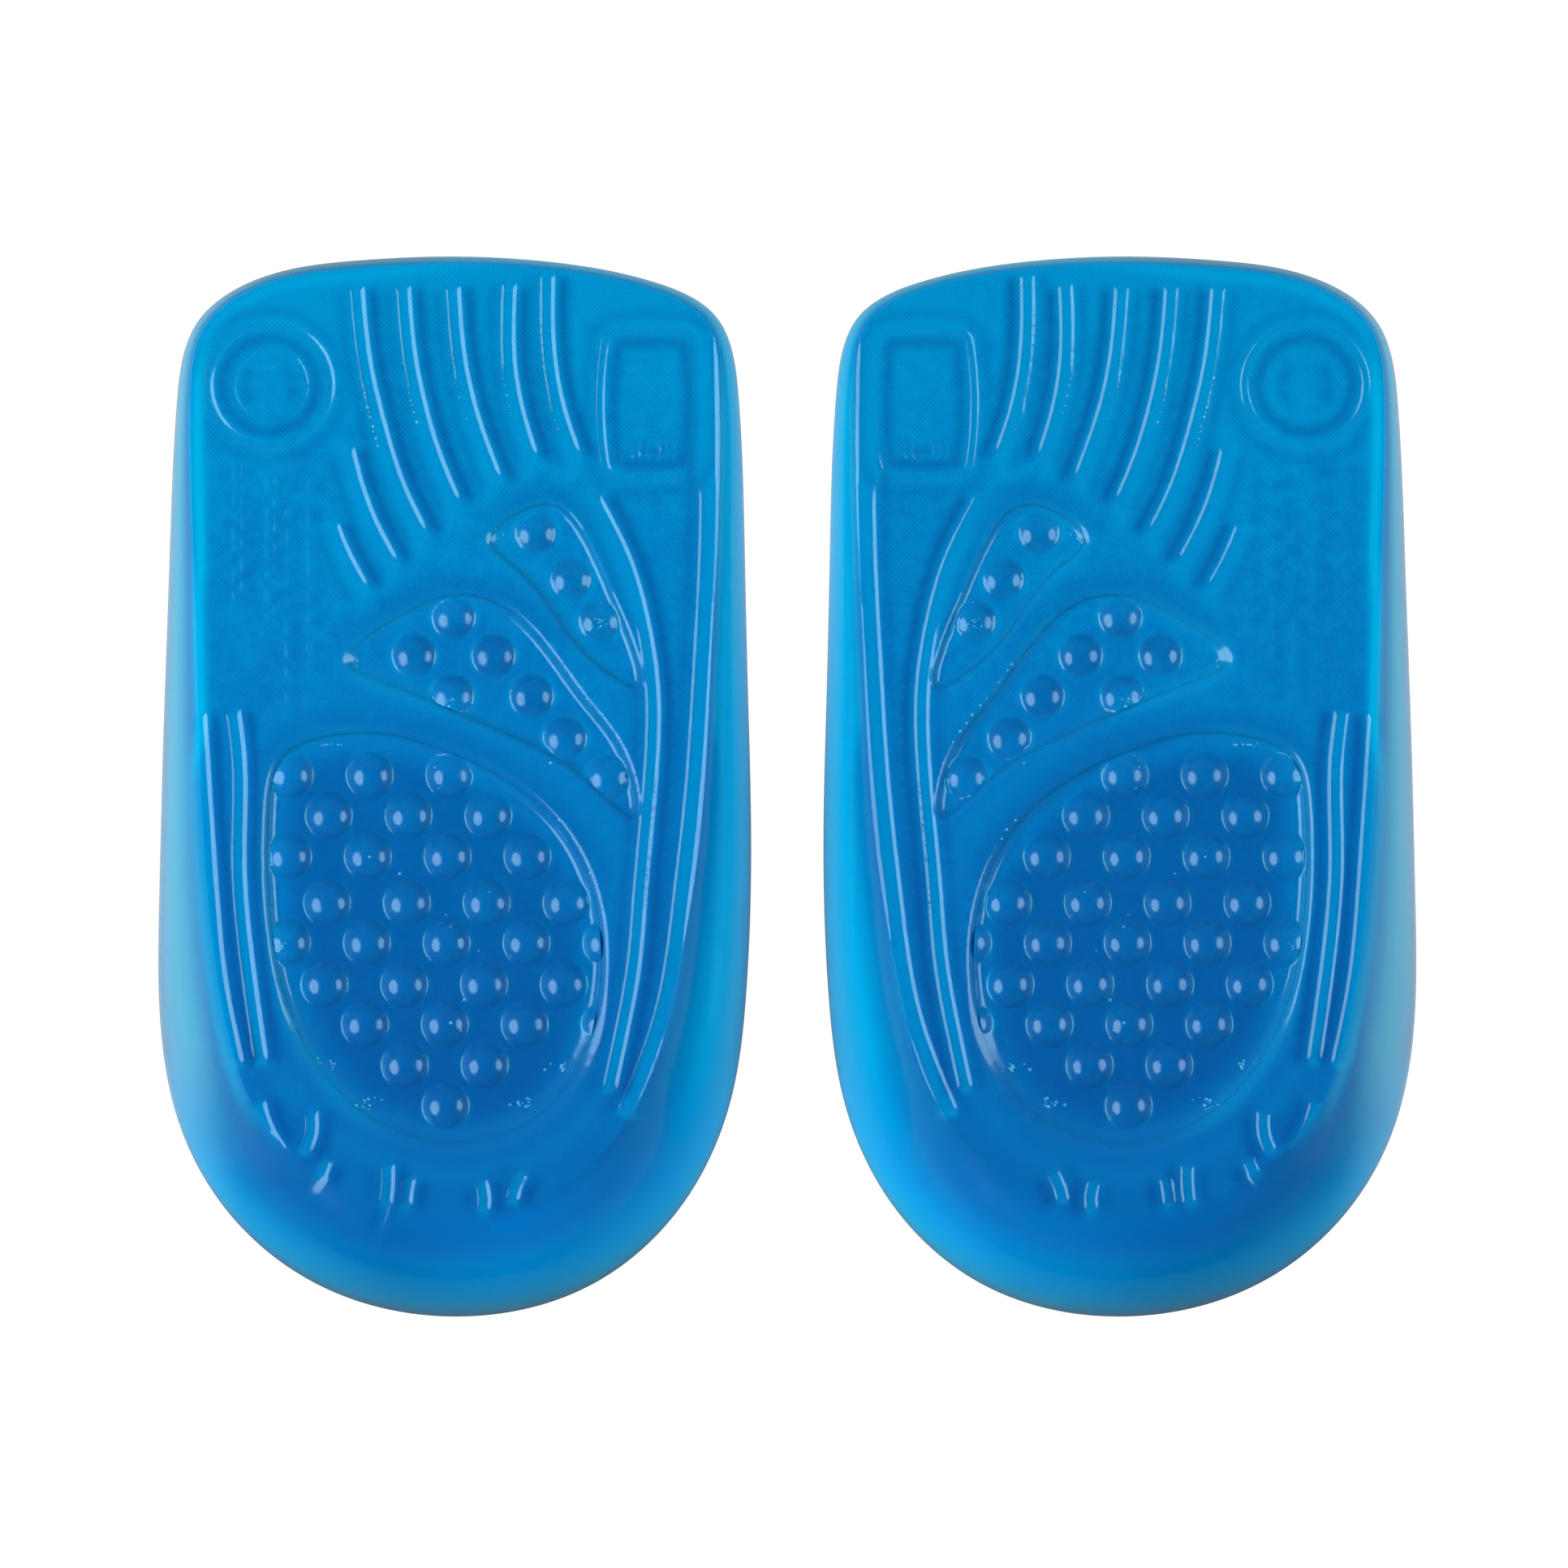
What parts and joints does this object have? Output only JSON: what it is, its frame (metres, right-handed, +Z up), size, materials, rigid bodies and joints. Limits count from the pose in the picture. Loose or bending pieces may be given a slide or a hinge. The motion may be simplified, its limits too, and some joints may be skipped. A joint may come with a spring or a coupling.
{
  "type": "cushioned insole",
  "caption": "Pair of cupped gel insoles for heel and arch, with recessed nubbed cushion pads, grip ribs on the sole face and a fabric top cover.",
  "frame": {"origin": "on the floor, at the middle of the pair's bounding box as it lies sole face up on its rims", "axes": "+X across the pair from the left insole to the right one, +Y to the front (arch) edge, +Z up, out of the sole faces"},
  "size_m": [0.152, 0.1281, 0.0165],
  "materials": {
    "firm_gel": "glossy translucent gel",
    "soft_gel": "glossy translucent gel",
    "cover_fabric": "fine knitted fabric"
  },
  "bodies": {
    "left_insole": {"left_gel_body": "firm_gel", "left_heel_pad": "soft_gel", "left_midfoot_pad": "soft_gel", "left_arch_pad": "soft_gel", "left_top_cover": "cover_fabric"},
    "right_insole": {"right_gel_body": "firm_gel", "right_heel_pad": "soft_gel", "right_midfoot_pad": "soft_gel", "right_arch_pad": "soft_gel", "right_top_cover": "cover_fabric"}
  },
  "joints": [
    {"name": "right_insole_lift", "type": "slide", "parent": "left_insole", "child": "right_insole", "axis": [0, 0, 1], "range_m": [0, 0.06]}
  ]
}
